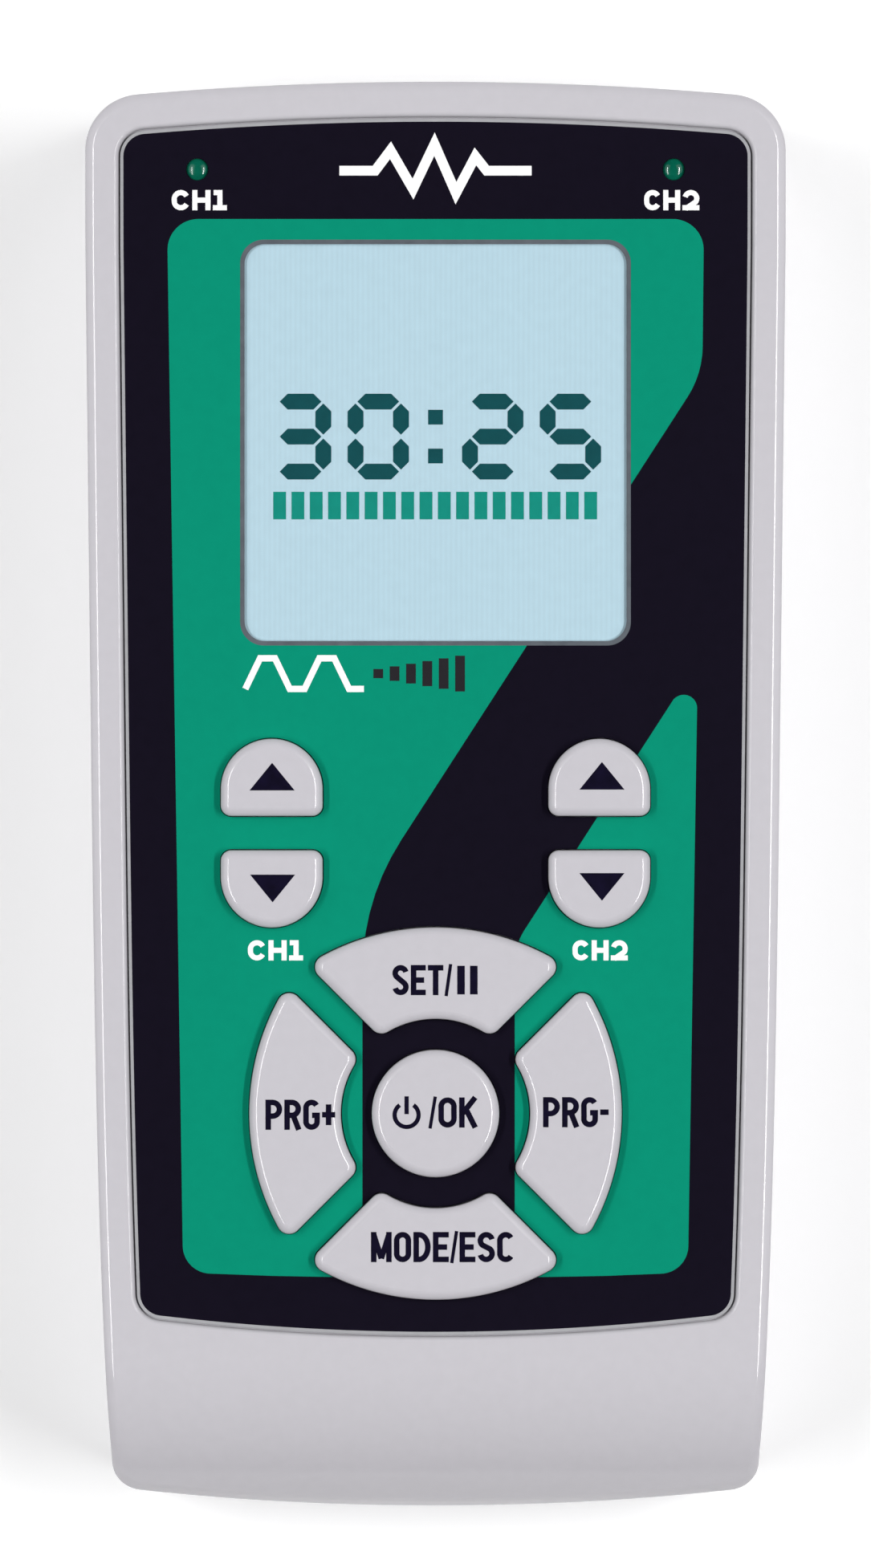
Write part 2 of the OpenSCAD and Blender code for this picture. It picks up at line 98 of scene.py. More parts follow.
KEY_GAP = 0.22
FILM_GAP = 0.13
OK_R = 6.2
RING_OUT = 18.17
RING_ARC_R = 23.2
RING_IN = 9.27
RING_SLOT = 2.95
RING_TIP = 1.15
CHANNEL_X = 16.0
CHANNEL_Y = -3.5
CHANNEL_GAP = 3.4
CHANNEL_W = 9.9
CHANNEL_L = 7.5
CHANNEL_CORNER = 1.0
WINDOW_W = 37.7
WINDOW_L = 39.2
WINDOW_Y = 34.7
WINDOW_GAP = 0.15
WINDOW_CORNER = 2.2
LED = (23.3, 61.44)
LED_R = 1.1
INK = 0.02
# How far a cutting tool reaches past the skin that it cuts
PAST = 1.0

# ---------- outlines ----------


def arc(cx, cy, r, a, b, n):
    """Points on an arc from angle a to angle b, in degrees, both ends included."""
    steps = [math.radians(a + (b - a) * i / n) for i in range(n + 1)]
    return [(cx + r * math.cos(t), cy + r * math.sin(t)) for t in steps]


def side_t(y):
    return max(0.0, (TAPER_Y - y) / (TAPER_Y + HALF_L))


def side_x(y):
    return HALF_W - SIDE_TAPER * side_t(y) - TAIL_PINCH * side_t(y) ** 6


def side_angle(y):
    if side_t(y) <= 0:
        return 0.0
    slope = (SIDE_TAPER + 6 * TAIL_PINCH * side_t(y) ** 5) / (TAPER_Y + HALF_L)
    return math.atan(slope)


def side_point(y, inset):
    a = side_angle(y)
    return (side_x(y) - inset * math.cos(a), y + inset * math.sin(a))


def half_outline(inset, top, bottom):
    """Right half of a case-like outline, from the top centre round to the bottom centre."""
    tx = side_x(top[0]) - inset - top[2]
    ty = top[0] - top[1] + math.sqrt((top[1] - top[2]) ** 2 - tx * tx)
    low_y = bottom[0] + bottom[2] + (HALF_W - inset - bottom[2] - 2) ** 2 / (2 * bottom[1])
    sa = side_angle(low_y)
    bx = side_x(low_y) - (inset + bottom[2]) * math.cos(sa)
    by = bottom[0] + bottom[1] - math.sqrt((bottom[1] - bottom[2]) ** 2 - bx * bx)
    ta = math.degrees(math.atan2(ty - top[0] + top[1], tx))
    ba = math.degrees(math.atan2(bottom[0] + bottom[1] - by, bx))
    side_low = by - bottom[2] * math.sin(sa)
    knee = max(TAIL_Y + 2, side_low + 4)
    upper = [side_point(ty + (knee - ty) * i / 24, inset) for i in range(1, 24)]
    lower = [side_point(knee + (side_low - knee) * i / 14, inset) for i in range(14)]
    bow_top = arc(0, top[0] - top[1], top[1], 90 - (90 - ta) / 28, 90 - (90 - ta) * 27 / 28, 13)
    bow_low = arc(0, bottom[0] + bottom[1], bottom[1], -90 + (90 - ba) * 27 / 28, -90 + (90 - ba) / 28, 13)
    corner_top = arc(tx, ty, top[2], ta, 0, 14)
    corner_low = arc(bx, by, bottom[2], -math.degrees(sa), -ba, 12)
    return bow_top + corner_top + upper + lower + corner_low + bow_low


def outline(inset, top, bottom):
    half = half_outline(inset, top, bottom)
    return half + [(-x, y) for x, y in reversed(half)]


def shrunk(end, inset, up):
    return (end[0] - up * inset, end[1] - inset, max(end[2] - inset, 0.6))


def case_outline(inset):
    return outline(inset, shrunk(CASE_TOP, inset, 1), shrunk(CASE_BOTTOM, inset, -1))


def film_outline(inset):
    return outline(FILM_INSET + inset, shrunk(FILM_TOP, inset, 1), shrunk(FILM_BOTTOM, inset, -1))


def tail_drop(y, r=TAIL_R):
    if y > TAIL_Y:
        return 0.0
    return r - math.sqrt(r * r - (TAIL_Y - y) ** 2)


def level(points, z):
    return [(x, y, z) for x, y in points]


def follow(points, z, r=TAIL_R):
    return [(x, y, z - tail_drop(y, r)) for x, y in points]


def edge_profile(slopes):
    """(inset, drop below the top) down a moulded edge, from the side up to the flat top."""
    points = [(slopes[-1][0], 0.0)]
    for (near, steep), (far, gentle) in zip(reversed(slopes[:-1]), reversed(slopes[1:])):
        middle = math.radians((steep + gentle) / 2)
        points.append((near, points[-1][1] + (far - near) * math.tan(middle)))
    return points[::-1]


def blend_rings(a, b, f):
    return [(p[0] + (q[0] - p[0]) * f, p[1] + (q[1] - p[1]) * f) for p, q in zip(a, b)]


def rounded(corners):
    """Closed outline through (x, y, radius) corners, with each corner rounded by an arc."""
    points = []
    count = len(corners)
    for i, (x, y, r) in enumerate(corners):
        here = Vector((x, y))
        before = (Vector(corners[i - 1][:2]) - here).normalized()
        after = (Vector(corners[(i + 1) % count][:2]) - here).normalized()
        if r <= 0:
            points.append((x, y))
            continue
        half = before.angle(after) / 2
        reach = r / math.tan(half)
        start, end = here + before * reach, here + after * reach
        centre = here + (before + after).normalized() * (r / math.sin(half))
        a = math.atan2(*(start - centre).yx)
        b = math.atan2(*(end - centre).yx)
        turn = (b - a + math.pi) % (2 * math.pi) - math.pi
        n = max(3, round(abs(turn) / math.radians(5)))
        points += arc(centre.x, centre.y, r, math.degrees(a), math.degrees(a + turn), n)
    return points


def rect(cx, cy, w, h, r=0.0):
    return rounded([(cx - w / 2, cy - h / 2, r), (cx + w / 2, cy - h / 2, r), (cx + w / 2, cy + h / 2, r),
                    (cx - w / 2, cy + h / 2, r)])


def moved(points, dx, dy, turn=0.0):
    c, s = math.cos(math.radians(turn)), math.sin(math.radians(turn))
    return [(dx + x * c - y * s, dy + x * s + y * c) for x, y in points]


def window_hole():
    return rect(0, WINDOW_Y, WINDOW_W + 2 * WINDOW_GAP, WINDOW_L + 2 * WINDOW_GAP, WINDOW_CORNER)


def circle(cx, cy, r, n=72):
    return arc(cx, cy, r, 0, 360 - 360 / n, n - 1)


def channel_key_outline(grow):
    """D shape: flat edge low, half circle on top; grow moves the edge outwards."""
    w = CHANNEL_W / 2 + grow
    low = CHANNEL_GAP / 2 - grow
    corner = max(CHANNEL_CORNER + grow, 0.12)
    c = CHANNEL_L + CHANNEL_GAP / 2 - CHANNEL_W / 2
    right = arc(w - corner, low + corner, corner, -90, 0, 14)
    left = arc(corner - w, low + corner, corner, 180, 270, 14)
    return right + arc(0, c, w, 0, 180, 60) + left


def ring_key_outline(grow):
    """One of the four ring keys, the upper one, centred on the cluster."""
    out, into = RING_ARC_R + grow, RING_IN - grow
    shift = RING_ARC_R - RING_OUT
    off = RING_SLOT / 2 - grow
    tip = max(RING_TIP + grow, 0.1)

    def on_line(along, away):
        return (along - away) / math.sqrt(2), (along + away) / math.sqrt(2)

    away = off + tip
    half_shift = shift / math.sqrt(2)
    a_in = math.sqrt((into + tip) ** 2 - away ** 2)
    a_out = math.sqrt((out - tip) ** 2 - (away + half_shift) ** 2) - half_shift
    cin, cout = on_line(a_in, away), on_line(a_out, away)
    t_in = math.degrees(math.atan2(cin[1], cin[0]))
    t_out = math.degrees(math.atan2(cout[1] + shift, cout[0]))
    half = arc(0, 0, into, 89.0, t_in + 1.2, 12)
    half += arc(cin[0], cin[1], tip, t_in + 180, 315, 12)
    half += arc(cout[0], cout[1], tip, -45, t_out, 16)
    half += arc(0, -shift, out, t_out + 1.0, 89.2, 22)
    return half + [(-x, y) for x, y in reversed(half)]


KEY_PLACES = {
    "key_ch1_up": (channel_key_outline, (-CHANNEL_X, CHANNEL_Y), 0),
    "key_ch1_down": (channel_key_outline, (-CHANNEL_X, CHANNEL_Y), 180),
    "key_ch2_up": (channel_key_outline, (CHANNEL_X, CHANNEL_Y), 0),
    "key_ch2_down": (channel_key_outline, (CHANNEL_X, CHANNEL_Y), 180),
    "key_set_pause": (ring_key_outline, (0, CLUSTER_Y), 0),
    "key_prg_plus": (ring_key_outline, (0, CLUSTER_Y), 90),
    "key_mode_esc": (ring_key_outline, (0, CLUSTER_Y), 180),
    "key_prg_minus": (ring_key_outline, (0, CLUSTER_Y), 270),
    "key_power_ok": (lambda grow: circle(0, 0, OK_R + grow, 96), (0, CLUSTER_Y), 0),
}


def key_outline(name, grow):
    make, (x, y), turn = KEY_PLACES[name]
    return moved(make(grow), x, y, turn)


# ---------- mesh building ----------


def mesh_object(name, verts, faces):
    mesh = bpy.data.meshes.new(name)
    mesh.from_pydata([(x * MM, y * MM, z * MM) for x, y, z in verts], [], faces)
    mesh.validate()
    obj = bpy.data.objects.new(name, mesh)
    bpy.context.collection.objects.link(obj)
    bm = bmesh.new()
    bm.from_mesh(mesh)
    bmesh.ops.recalc_face_normals(bm, faces=bm.faces)
    bm.to_mesh(mesh)
    bm.free()
    return obj


def loft(name, rings, strips=True):
    """Closed solid through matching rings. Strips cap symmetric outlines across X; else one face does."""
    n = len(rings[0])
    faces = []
    for r in range(len(rings) - 1):
        for i in range(n):
            a, b = r * n + i, r * n + (i + 1) % n
            faces.append((a, b, b + n, a + n))
    last = (len(rings) - 1) * n
    if strips:
        for base in (0, last):
            for i in range(n // 2 - 1):
                faces.append((base + i, base + i + 1, base + n - 2 - i, base + n - 1 - i))
    else:
        faces.append(tuple(range(n)))
        faces.append(tuple(range(last, last + n)))
    return mesh_object(name, [p for ring in rings for p in ring], faces)


def prism(name, points, z0, z1):
    return loft(name, [level(points, z0), level(points, z1)], strips=False)


def join(name, objects):
    """One object from several, with each part's own material slots kept."""
    bpy.ops.object.select_all(action="DESELECT")
    for obj in objects:
        obj.select_set(True)
    bpy.context.view_layer.objects.active = objects[0]
    if len(objects) > 1:
        bpy.ops.object.join()
    joined = bpy.context.view_layer.objects.active
    joined.name = name
    joined.data.name = name
    return joined


def cut(obj, tools, operation="DIFFERENCE"):
    """Boolean obj with each tool in turn, then removes the tools."""
    for tool in tools:
        mod = obj.modifiers.new("cut", "BOOLEAN")
        mod.operation = operation
        mod.solver = "EXACT"
        mod.object = tool
        bpy.context.view_layer.objects.active = obj
        bpy.ops.object.modifier_apply(modifier=mod.name)
        bpy.data.objects.remove(tool)
    return obj


def smooth(obj, angle=32.0):
    """Shades smooth, keeps edges sharper than the angle, and lets big faces set the normals."""
    bm = bmesh.new()
    bm.from_mesh(obj.data)
    bmesh.ops.remove_doubles(bm, verts=bm.verts, dist=2e-7)
    bmesh.ops.dissolve_degenerate(bm, edges=bm.edges, dist=1e-7)
    bmesh.ops.recalc_face_normals(bm, faces=bm.faces)
    bm.to_mesh(obj.data)
    bm.free()
    obj.data.shade_smooth()
    obj.data.set_sharp_from_angle(angle=math.radians(angle))
    mod = obj.modifiers.new("flats", "WEIGHTED_NORMAL")
    mod.keep_sharp = True
    mod.weight = 60
    bpy.context.view_layer.objects.active = obj
    bpy.ops.object.modifier_apply(modifier=mod.name)
    return obj


def flat_shape(name, loops, z0, z1):
    """Solid between two heights from 2D loops; a loop inside another is a hole."""
    curve = bpy.data.curves.new(name, "CURVE")
    curve.dimensions = "2D"
    curve.fill_mode = "BOTH"
    curve.extrude = (z1 - z0) / 2 * MM
    for points in loops:
        spline = curve.splines.new("POLY")
        spline.points.add(len(points) - 1)
        for point, (x, y) in zip(spline.points, points):
            point.co = (x * MM, y * MM, 0, 1)
        spline.use_cyclic_u = True
    return solid_from_curve(name, curve, (z0 + z1) / 2)


def solid_from_curve(name, curve, mid_z):
    temp = bpy.data.objects.new(name + "_temp", curve)
    bpy.context.collection.objects.link(temp)
    depsgraph = bpy.context.evaluated_depsgraph_get()
    mesh = bpy.data.meshes.new_from_object(temp.evaluated_get(depsgraph))
    bpy.data.objects.remove(temp)
    mesh.transform(Matrix.Translation((0, 0, mid_z * MM)))
    obj = bpy.data.objects.new(name, mesh)
    bpy.context.collection.objects.link(obj)
    bm = bmesh.new()
    bm.from_mesh(mesh)
    bmesh.ops.remove_doubles(bm, verts=bm.verts, dist=1e-6)
    bmesh.ops.recalc_face_normals(bm, faces=bm.faces)
    bm.to_mesh(mesh)
    bm.free()
    return obj


def strokes(points, thick):
    """Closed outline of a mitred polyline."""
    left, right = [], []
    for i, p in enumerate(points):
        p = Vector(p)
        before = (p - Vector(points[i - 1])).normalized() if i else (Vector(points[1]) - p).normalized()
        after = (Vector(points[i + 1]) - p).normalized() if i + 1 < len(points) else before
        tangent = (before + after).normalized()
        normal = Vector((-tangent.y, tangent.x))
        reach = thick / 2 / max(0.35, normal.dot(Vector((-before.y, before.x))))
        left.append(tuple(p + normal * reach))
        right.append(tuple(p - normal * reach))
    return left + right[::-1]


def bowl(x0, x1, y0, y1):
    """Path from the upper left, round a half-stadium on the right, back to the lower left."""
    r = (y1 - y0) / 2
    reach = min(r, (x1 - x0) * 0.75)
    turn = [(x1 - reach + reach * x, (y0 + y1) / 2 + r * y) for x, y in arc(0, 0, 1, 90, -90, 16)]
    return [(x0, y1)] + turn + [(x0, y0)]


def oval(x0, x1, y0, y1, a, b, n=28):
    """Path along an upright stadium with round ends, between two angles in degrees."""
    r = (x1 - x0) / 2
    cx = (x0 + x1) / 2
    points = []
    for x, y in arc(0, 0, 1, a, b, n):
        cy = y1 - r if y >= 0 else y0 + r
        points.append((cx + r * x, cy + r * y))
    return points


def glyph(char, x, y, w, h, t):
    """Strokes, as centre lines, of one plain capital, digit or sign with its lower left corner at x, y."""
    x0, x1, y0, y1 = x + t / 2, x + w - t / 2, y + t / 2, y + h - t / 2
    cx, cy = x + w / 2, y + h / 2
    top, low = y + h, y
    if char == "S":
        r = (x1 - x0) / 2
        upper = arc(cx, y1 - r, r, 12, 232, 16)
        lower = arc(cx, y0 + r, r, 52, -168, 16)
        return [upper + lower]
    if char == "E":
        back = [(x1 + t / 2, y1), (x0, y1), (x0, y0), (x1 + t / 2, y0)]
        return [back, [(x0, cy), (x1 + t * 0.2, cy)]]
    if char == "T":
        return [[(x, y1), (x + w, y1)], [(cx, top - t / 2), (cx, low)]]
    if char == "H":
        return [[(x0, low), (x0, top)], [(x1, low), (x1, top)], [(x0, cy), (x1, cy)]]
    if char == "K":
        arm = [(x0, cy - h * 0.06), (x1 + t * 0.1, top)]
        leg = [(x0 + w * 0.25, cy + h * 0.08), (x1 + t * 0.1, low)]
        return [[(x0, low), (x0, top)], arm, leg]
    if char == "M":
        arms = [[(side, top - t * 0.45), (cx, low + h * 0.12)] for side in (x0, x1)]
        return [[(x0, low), (x0, top)], [(x1, low), (x1, top)]] + arms
    if char == "D":
        return [[(x0, low), (x0, top)], bowl(x0, x1, y0, y1)]
    if char == "P":
        return [[(x0, low), (x0, top)], bowl(x0, x1, cy - t * 0.25, y1)]
    if char == "R":
        leg = [(x0 + w * 0.35, cy), (x1 + t * 0.1, low)]
        return [[(x0, low), (x0, top)], bowl(x0, x1, cy - t * 0.1, y1), leg]
    if char == "O":
        return [oval(x0, x1, y0, y1, 90, 450, 48)]
    if char == "C":
        return [oval(x0, x1, y0, y1, 28, 332)]
    if char == "G":
        return [oval(x0, x1, y0, y1, 28, 350) + [(x1, cy - t * 0.1), (cx + t * 0.1, cy - t * 0.1)]]
    if char == "1":
        return [[(cx, low), (cx, top)], [(cx, y1), (x + t * 0.15, y1)], [(x, y0), (x + w, y0)]]
    if char == "2":
        r = (x1 - x0) / 2
        neck = arc(cx, y1 - r, r, 165, -36, 16) + [(x0 + t * 0.15, low + t * 0.3)]
        return [neck, [(x, y0), (x + w, y0)]]
    if char == "+":
        return [[(x, cy), (x + w, cy)], [(cx, cy - w * 0.8), (cx, cy + w * 0.8)]]
    if char == "-":
        return [[(x, cy), (x + w, cy)]]
    return [[(x + t * 0.2, low - h * 0.03), (x + w - t * 0.2, top + h * 0.03)]]


# Each stroke stands this much above the one before, so crossing strokes don't share a face
STAGGER = 0.0008

# Width of each sign and of the gap between signs, as a share of the usual letter
LETTER_SPACE = 0.13
GLYPH_WIDTHS = {"1": 0.77, "M": 1.2, "/": 0.36, "+": 0.78, "-": 0.5, "T": 0.95, "E": 0.92}


def lettering(name, text, cx, cy, width, height, thick, z0, z1):
    """Raised stroke lettering that fills a width; a slash is drawn thinner."""
    shares = [GLYPH_WIDTHS.get(c, 1.0) for c in text]
    unit = width / (sum(shares) + LETTER_SPACE * (len(text) - 1))
    x = cx - width / 2
    parts = []
    for char, share in zip(text, shares):
        weight = thick * 0.6 if char == "/" else thick
        for path in glyph(char, x, cy - height / 2, unit * share, height, weight):
            loops = [strokes(path, weight)]
            if char == "O":
                loops = [strokes(path, weight)[: len(path) - 1], strokes(path, weight)[len(path) + 1:]]
            parts.append(flat_shape(name, loops, z0, z1 + STAGGER * len(parts)))
        x += unit * (share + LETTER_SPACE)
    return join(name, parts)


# ---------- materials ----------


def material(name, color, roughness, bump=0.0, bump_scale=2.0, mottle=0.02, rough_var=0.05, **sockets):
    """Moulded or printed surface: fine grain in the bump, slight mottling in colour and gloss."""
    mat = bpy.data.materials.new(name)
    mat.use_nodes = True
    nodes, links = mat.node_tree.nodes, mat.node_tree.links
    bsdf = nodes["Principled BSDF"]
    where = nodes.new("ShaderNodeTexCoord")
    cloud = nodes.new("ShaderNodeTexNoise")
    cloud.inputs["Scale"].default_value = 900.0
    cloud.inputs["Detail"].default_value = 4.0
    links.new(where.outputs["Object"], cloud.inputs["Vector"])
    ramp = nodes.new("ShaderNodeValToRGB")
    ramp.color_ramp.elements[0].position = 0.3
    ramp.color_ramp.elements[1].position = 0.7
    ramp.color_ramp.elements[0].color = tuple(c * (1 - mottle) for c in color) + (1,)
    ramp.color_ramp.elements[1].color = tuple(min(1, c * (1 + mottle)) for c in color) + (1,)
    links.new(cloud.outputs["Fac"], ramp.inputs["Fac"])
    links.new(ramp.outputs["Color"], bsdf.inputs["Base Color"])
    gloss = nodes.new("ShaderNodeMapRange")
    gloss.inputs["From Min"].default_value = 0.3
    gloss.inputs["From Max"].default_value = 0.7
    gloss.inputs["To Min"].default_value = max(0.02, roughness - rough_var)
    gloss.inputs["To Max"].default_value = roughness + rough_var
    links.new(cloud.outputs["Fac"], gloss.inputs["Value"])
    links.new(gloss.outputs["Result"], bsdf.inputs["Roughness"])
    if bump:
        grain = nodes.new("ShaderNodeTexNoise")
        grain.inputs["Scale"].default_value = bump_scale * 1000
        grain.inputs["Detail"].default_value = 2.0
        links.new(where.outputs["Object"], grain.inputs["Vector"])
        bumper = nodes.new("ShaderNodeBump")
        bumper.inputs["Strength"].default_value = bump
        bumper.inputs["Distance"].default_value = 0.02 * MM
        links.new(grain.outputs["Fac"], bumper.inputs["Height"])
        links.new(bumper.outputs["Normal"], bsdf.inputs["Normal"])
    for socket, value in sockets.items():
        bsdf.inputs[socket.replace("_", " ")].default_value = value
    return mat


def paint(obj, mat):
    obj.data.materials.clear()
    obj.data.materials.append(mat)
    return obj


MOULDED = {"bump": 0.04, "bump_scale": 2.2, "mottle": 0.012, "rough_var": 0.02}
CASE_PLASTIC = material("case_plastic", (0.60, 0.583, 0.622), 0.125, Specular_IOR_Level=0.28, **MOULDED)
KEY_PLASTIC = material("key_plastic", (0.60, 0.583, 0.625), 0.125, Specular_IOR_Level=0.35, **MOULDED)
PRINTED = {"bump": 0.08, "bump_scale": 3.0, "Specular_IOR_Level": 0.04}
FILM_DARK = material("film_dark", (0.0050, 0.0032, 0.0105), 0.5, mottle=0.05, **PRINTED)
FILM_GREEN = material("film_green", (0.0001, 0.278, 0.171), 0.5, mottle=0.02, **PRINTED)
FILM_EDGE = material("film_edge", (0.38, 0.38, 0.40), 0.35, mottle=0.03)
INK_WHITE = material("ink_white", (0.97, 0.97, 0.97), 0.5, mottle=0.01)
INK_NAVY = material("ink_navy", (0.0040, 0.0025, 0.0150), 0.5, bump=0.1, bump_scale=4.0, mottle=0.3,
                    Specular_IOR_Level=0.04)
INK_BLACK = material("ink_black", (0.014, 0.012, 0.016), 0.5, mottle=0.05, Specular_IOR_Level=0.12)
LCD_DARK = material("lcd_dark", (0.0005, 0.078, 0.090), 0.5, mottle=0.06, Specular_IOR_Level=0.1)
LCD_GREEN = material("lcd_green", (0.002, 0.30, 0.23), 0.5, mottle=0.05, Specular_IOR_Level=0.1)
# Grey of the ring round the window: painted shade that stands for the dark step at its opening edge
PAINTED_STEP_SHADE = material("painted_step_shade", (0.085, 0.10, 0.12), 0.4, mottle=0.08)
BLACK_PLASTIC = material("black_plastic", (0.022, 0.021, 0.024), 0.38, bump=0.15, mottle=0.08)
GASKET = material("gasket", (0.03, 0.03, 0.032), 0.8, bump=0.5, bump_scale=1.5, mottle=0.2)
STEEL = material("steel", (0.6, 0.6, 0.62), 0.3, bump=0.1, mottle=0.06, Metallic=1.0)
BRASS = material("brass", (0.72, 0.55, 0.26), 0.28, bump=0.1, mottle=0.06, Metallic=1.0)
BOARD = material("board", (0.01, 0.13, 0.05), 0.35, bump=0.1, mottle=0.15)
LED_LENS = material("led_lens", (0.002, 0.115, 0.070), 0.12, mottle=0.15, Specular_IOR_Level=0.4)
FERRITE = material("ferrite", (0.03, 0.03, 0.035), 0.6, bump=0.3, mottle=0.15)
TAPE = material("tape", (0.5, 0.27, 0.05), 0.35, bump=0.2, mottle=0.1)
CAN_SLEEVE = material("can_sleeve", (0.03, 0.04, 0.09), 0.3, mottle=0.08)
SLEEVE = material("sleeve", (0.02, 0.12, 0.42), 0.25, bump=0.2, bump_scale=0.8, mottle=0.06)
WIRE = material("wire", (0.45, 0.03, 0.03), 0.4, mottle=0.08)
CONNECTOR = material("connector", (0.82, 0.8, 0.76), 0.45, bump=0.1, mottle=0.04)
RUBBER_PINK = material("rubber_pink", (0.6, 0.35, 0.33), 0.7, bump=0.2, mottle=0.1)
LIGHT_GUIDE = material("light_guide", (0.85, 0.88, 0.88), 0.4, mottle=0.03)
LABEL = material("label", (0.8, 0.8, 0.82), 0.5, bump=0.1, mottle=0.02)


def lcd_material():
    """Pale reflective screen with fine vertical stripes and soft clouding."""
    mat = material("lcd_screen", (0.555, 0.775, 0.885), 0.4, mottle=0.02, Specular_IOR_Level=0.2)
    nodes, links = mat.node_tree.nodes, mat.node_tree.links
    bsdf = nodes["Principled BSDF"]
    where = next(n for n in nodes if n.type == "TEX_COORD")
    base = bsdf.inputs["Base Color"].links[0].from_socket
    wave = nodes.new("ShaderNodeTexWave")
    wave.wave_type = "BANDS"
    wave.bands_direction = "X"
    wave.inputs["Scale"].default_value = 620.0
    wave.inputs["Distortion"].default_value = 0.6
    wave.inputs["Detail"].default_value = 1.0
    links.new(where.outputs["Object"], wave.inputs["Vector"])
    stripe = nodes.new("ShaderNodeMapRange")
    stripe.inputs["To Min"].default_value = 0.975
    stripe.inputs["To Max"].default_value = 1.015
    links.new(wave.outputs["Fac"], stripe.inputs["Value"])
    mix = nodes.new("ShaderNodeMix")
    mix.data_type = "RGBA"
    mix.blend_type = "MULTIPLY"
    mix.inputs["Factor"].default_value = 1.0
    links.new(base, mix.inputs["A"])
    links.new(stripe.outputs["Result"], mix.inputs["B"])
    links.new(mix.outputs["Result"], bsdf.inputs["Base Color"])
    return mat


LCD_SCREEN = lcd_material()
PANE = material("pane", (0.02, 0.025, 0.03), 0.05, mottle=0.01, rough_var=0.01, Alpha=0.04)

# ---------- camera and studio ----------


CAMERA_HEIGHT = 1.0
CAMERA_Y = 0.0013
VIEW_LENGTH = 0.1534


def look_down_camera():
    data = bpy.data.cameras.new("camera")
    cam = bpy.data.objects.new("camera", data)
    bpy.context.collection.objects.link(cam)
    data.sensor_fit = "VERTICAL"
    data.sensor_height = 36.0
    data.lens = data.sensor_height * CAMERA_HEIGHT / VIEW_LENGTH
    data.clip_end = 10.0
    cam.location = (0.0, CAMERA_Y, FILM_Z * MM + CAMERA_HEIGHT)
    bpy.context.scene.camera = cam


def area_light(name, place, target, size, power):
    data = bpy.data.lights.new(name, "AREA")
    data.shape = "RECTANGLE"
    data.size, data.size_y = size
    data.energy = power
    light = bpy.data.objects.new(name, data)
    light.location = place
    light.rotation_euler = (Vector(target) - Vector(place)).to_track_quat("-Z", "Y").to_euler()
    bpy.context.collection.objects.link(light)


# Two broad boxes light the unit; two slim strips along its length draw the bright lines on its edges
BOX_PLACE, BOX_SIZE, BOX_POWER = (1.15, 0.32, 1.35), (1.3, 1.5), 7.8
STRIP_PLACE, STRIP_SIZE = (0.6, -0.03, 1.15), (0.75, 0.035)
STRIP_POWERS = {-1: 5.9, 1: 8.1}
FLOOR_DROP = 0.0002
SKY_LOW, SKY_HIGH = 0.14, 0.10


def studio():
    bpy.ops.mesh.primitive_plane_add(size=6.0, location=(0, 0, -FLOOR_DROP))
    floor = bpy.context.object
    floor.name = "studio_floor"
    paint(floor, material("floor", (0.96, 0.96, 0.96), 0.95, mottle=0.003, Specular_IOR_Level=0.0,
                          Emission_Color=(1, 1, 1, 1), Emission_Strength=0.22))
    for side, glow in STRIP_POWERS.items():
        area_light("box", (side * BOX_PLACE[0],) + BOX_PLACE[1:], (0, 0, 0), BOX_SIZE, BOX_POWER)
        area_light("strip", (side * STRIP_PLACE[0],) + STRIP_PLACE[1:], (0, -0.01, 0.03), STRIP_SIZE, glow)
    world = bpy.data.worlds.new("world")
    world.use_nodes = True
    nodes, links = world.node_tree.nodes, world.node_tree.links
    where = nodes.new("ShaderNodeTexCoord")
    split = nodes.new("ShaderNodeSeparateXYZ")
    fade = nodes.new("ShaderNodeMapRange")
    fade.inputs["From Min"].default_value = 0.55
    fade.inputs["From Max"].default_value = 0.85
    fade.inputs["To Min"].default_value = SKY_LOW
    fade.inputs["To Max"].default_value = SKY_HIGH
    links.new(where.outputs["Generated"], split.inputs["Vector"])
    links.new(split.outputs["Z"], fade.inputs["Value"])
    links.new(fade.outputs["Result"], nodes["Background"].inputs["Strength"])
    bpy.context.scene.world = world
    bpy.context.scene.view_settings.view_transform = "Standard"


look_down_camera()
studio()

# ---------- shells ----------


def front_shell():
    """Outer wall, rounded rim, rolled lower end and sunk floor, hollow inside, with every hole cut."""
    rings = [level(case_outline(SEAM_ROUND), SEAM_Z), level(case_outline(0), SEAM_Z + SEAM_ROUND)]
    profile = edge_profile(RIM_SLOPES)
    rings += [follow(case_outline(inset), RIM_Z - drop) for inset, drop in profile]
    well = FILM_BORDER + LIP_GAP
    outer, flat_end = case_outline(profile[-1][0]), film_outline(-well - LIP_ROUND)
    rings += [follow(blend_rings(outer, flat_end, i / 16), RIM_Z) for i in range(1, 16)]
    for i in range(10):
        t = math.radians(i * 10)
        inset = LIP_ROUND * math.sin(t) - well - LIP_ROUND
        rings.append(follow(film_outline(inset), RIM_Z - LIP_ROUND * (1 - math.cos(t))))
    rings.append(level(film_outline(-well), FLOOR_Z))
    shell = loft("front_shell", rings)
    inner_r = PLATE_Z - RIM_Z + TAIL_R
    cavity = loft("cavity", [level(case_outline(WALL), SEAM_Z - PAST),
                             follow(case_outline(WALL), PLATE_Z, inner_r)])
    tools = [cavity]
    for name in KEY_PLACES:
        tools.append(prism("hole", key_outline(name, KEY_GAP), PLATE_Z - PAST, RIM_Z))
    tools.append(prism("hole", window_hole(), PLATE_Z - PAST, RIM_Z))
    for s in (-1, 1):
        tools.append(prism("hole", circle(s * LED[0], LED[1], LED_R, 40), PLATE_Z - PAST, RIM_Z))
    cut(shell, tools)
    return paint(smooth(shell), CASE_PLASTIC)


front = front_shell()
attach(front, "unit")
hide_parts("front_case")

# ---------- film and print ----------


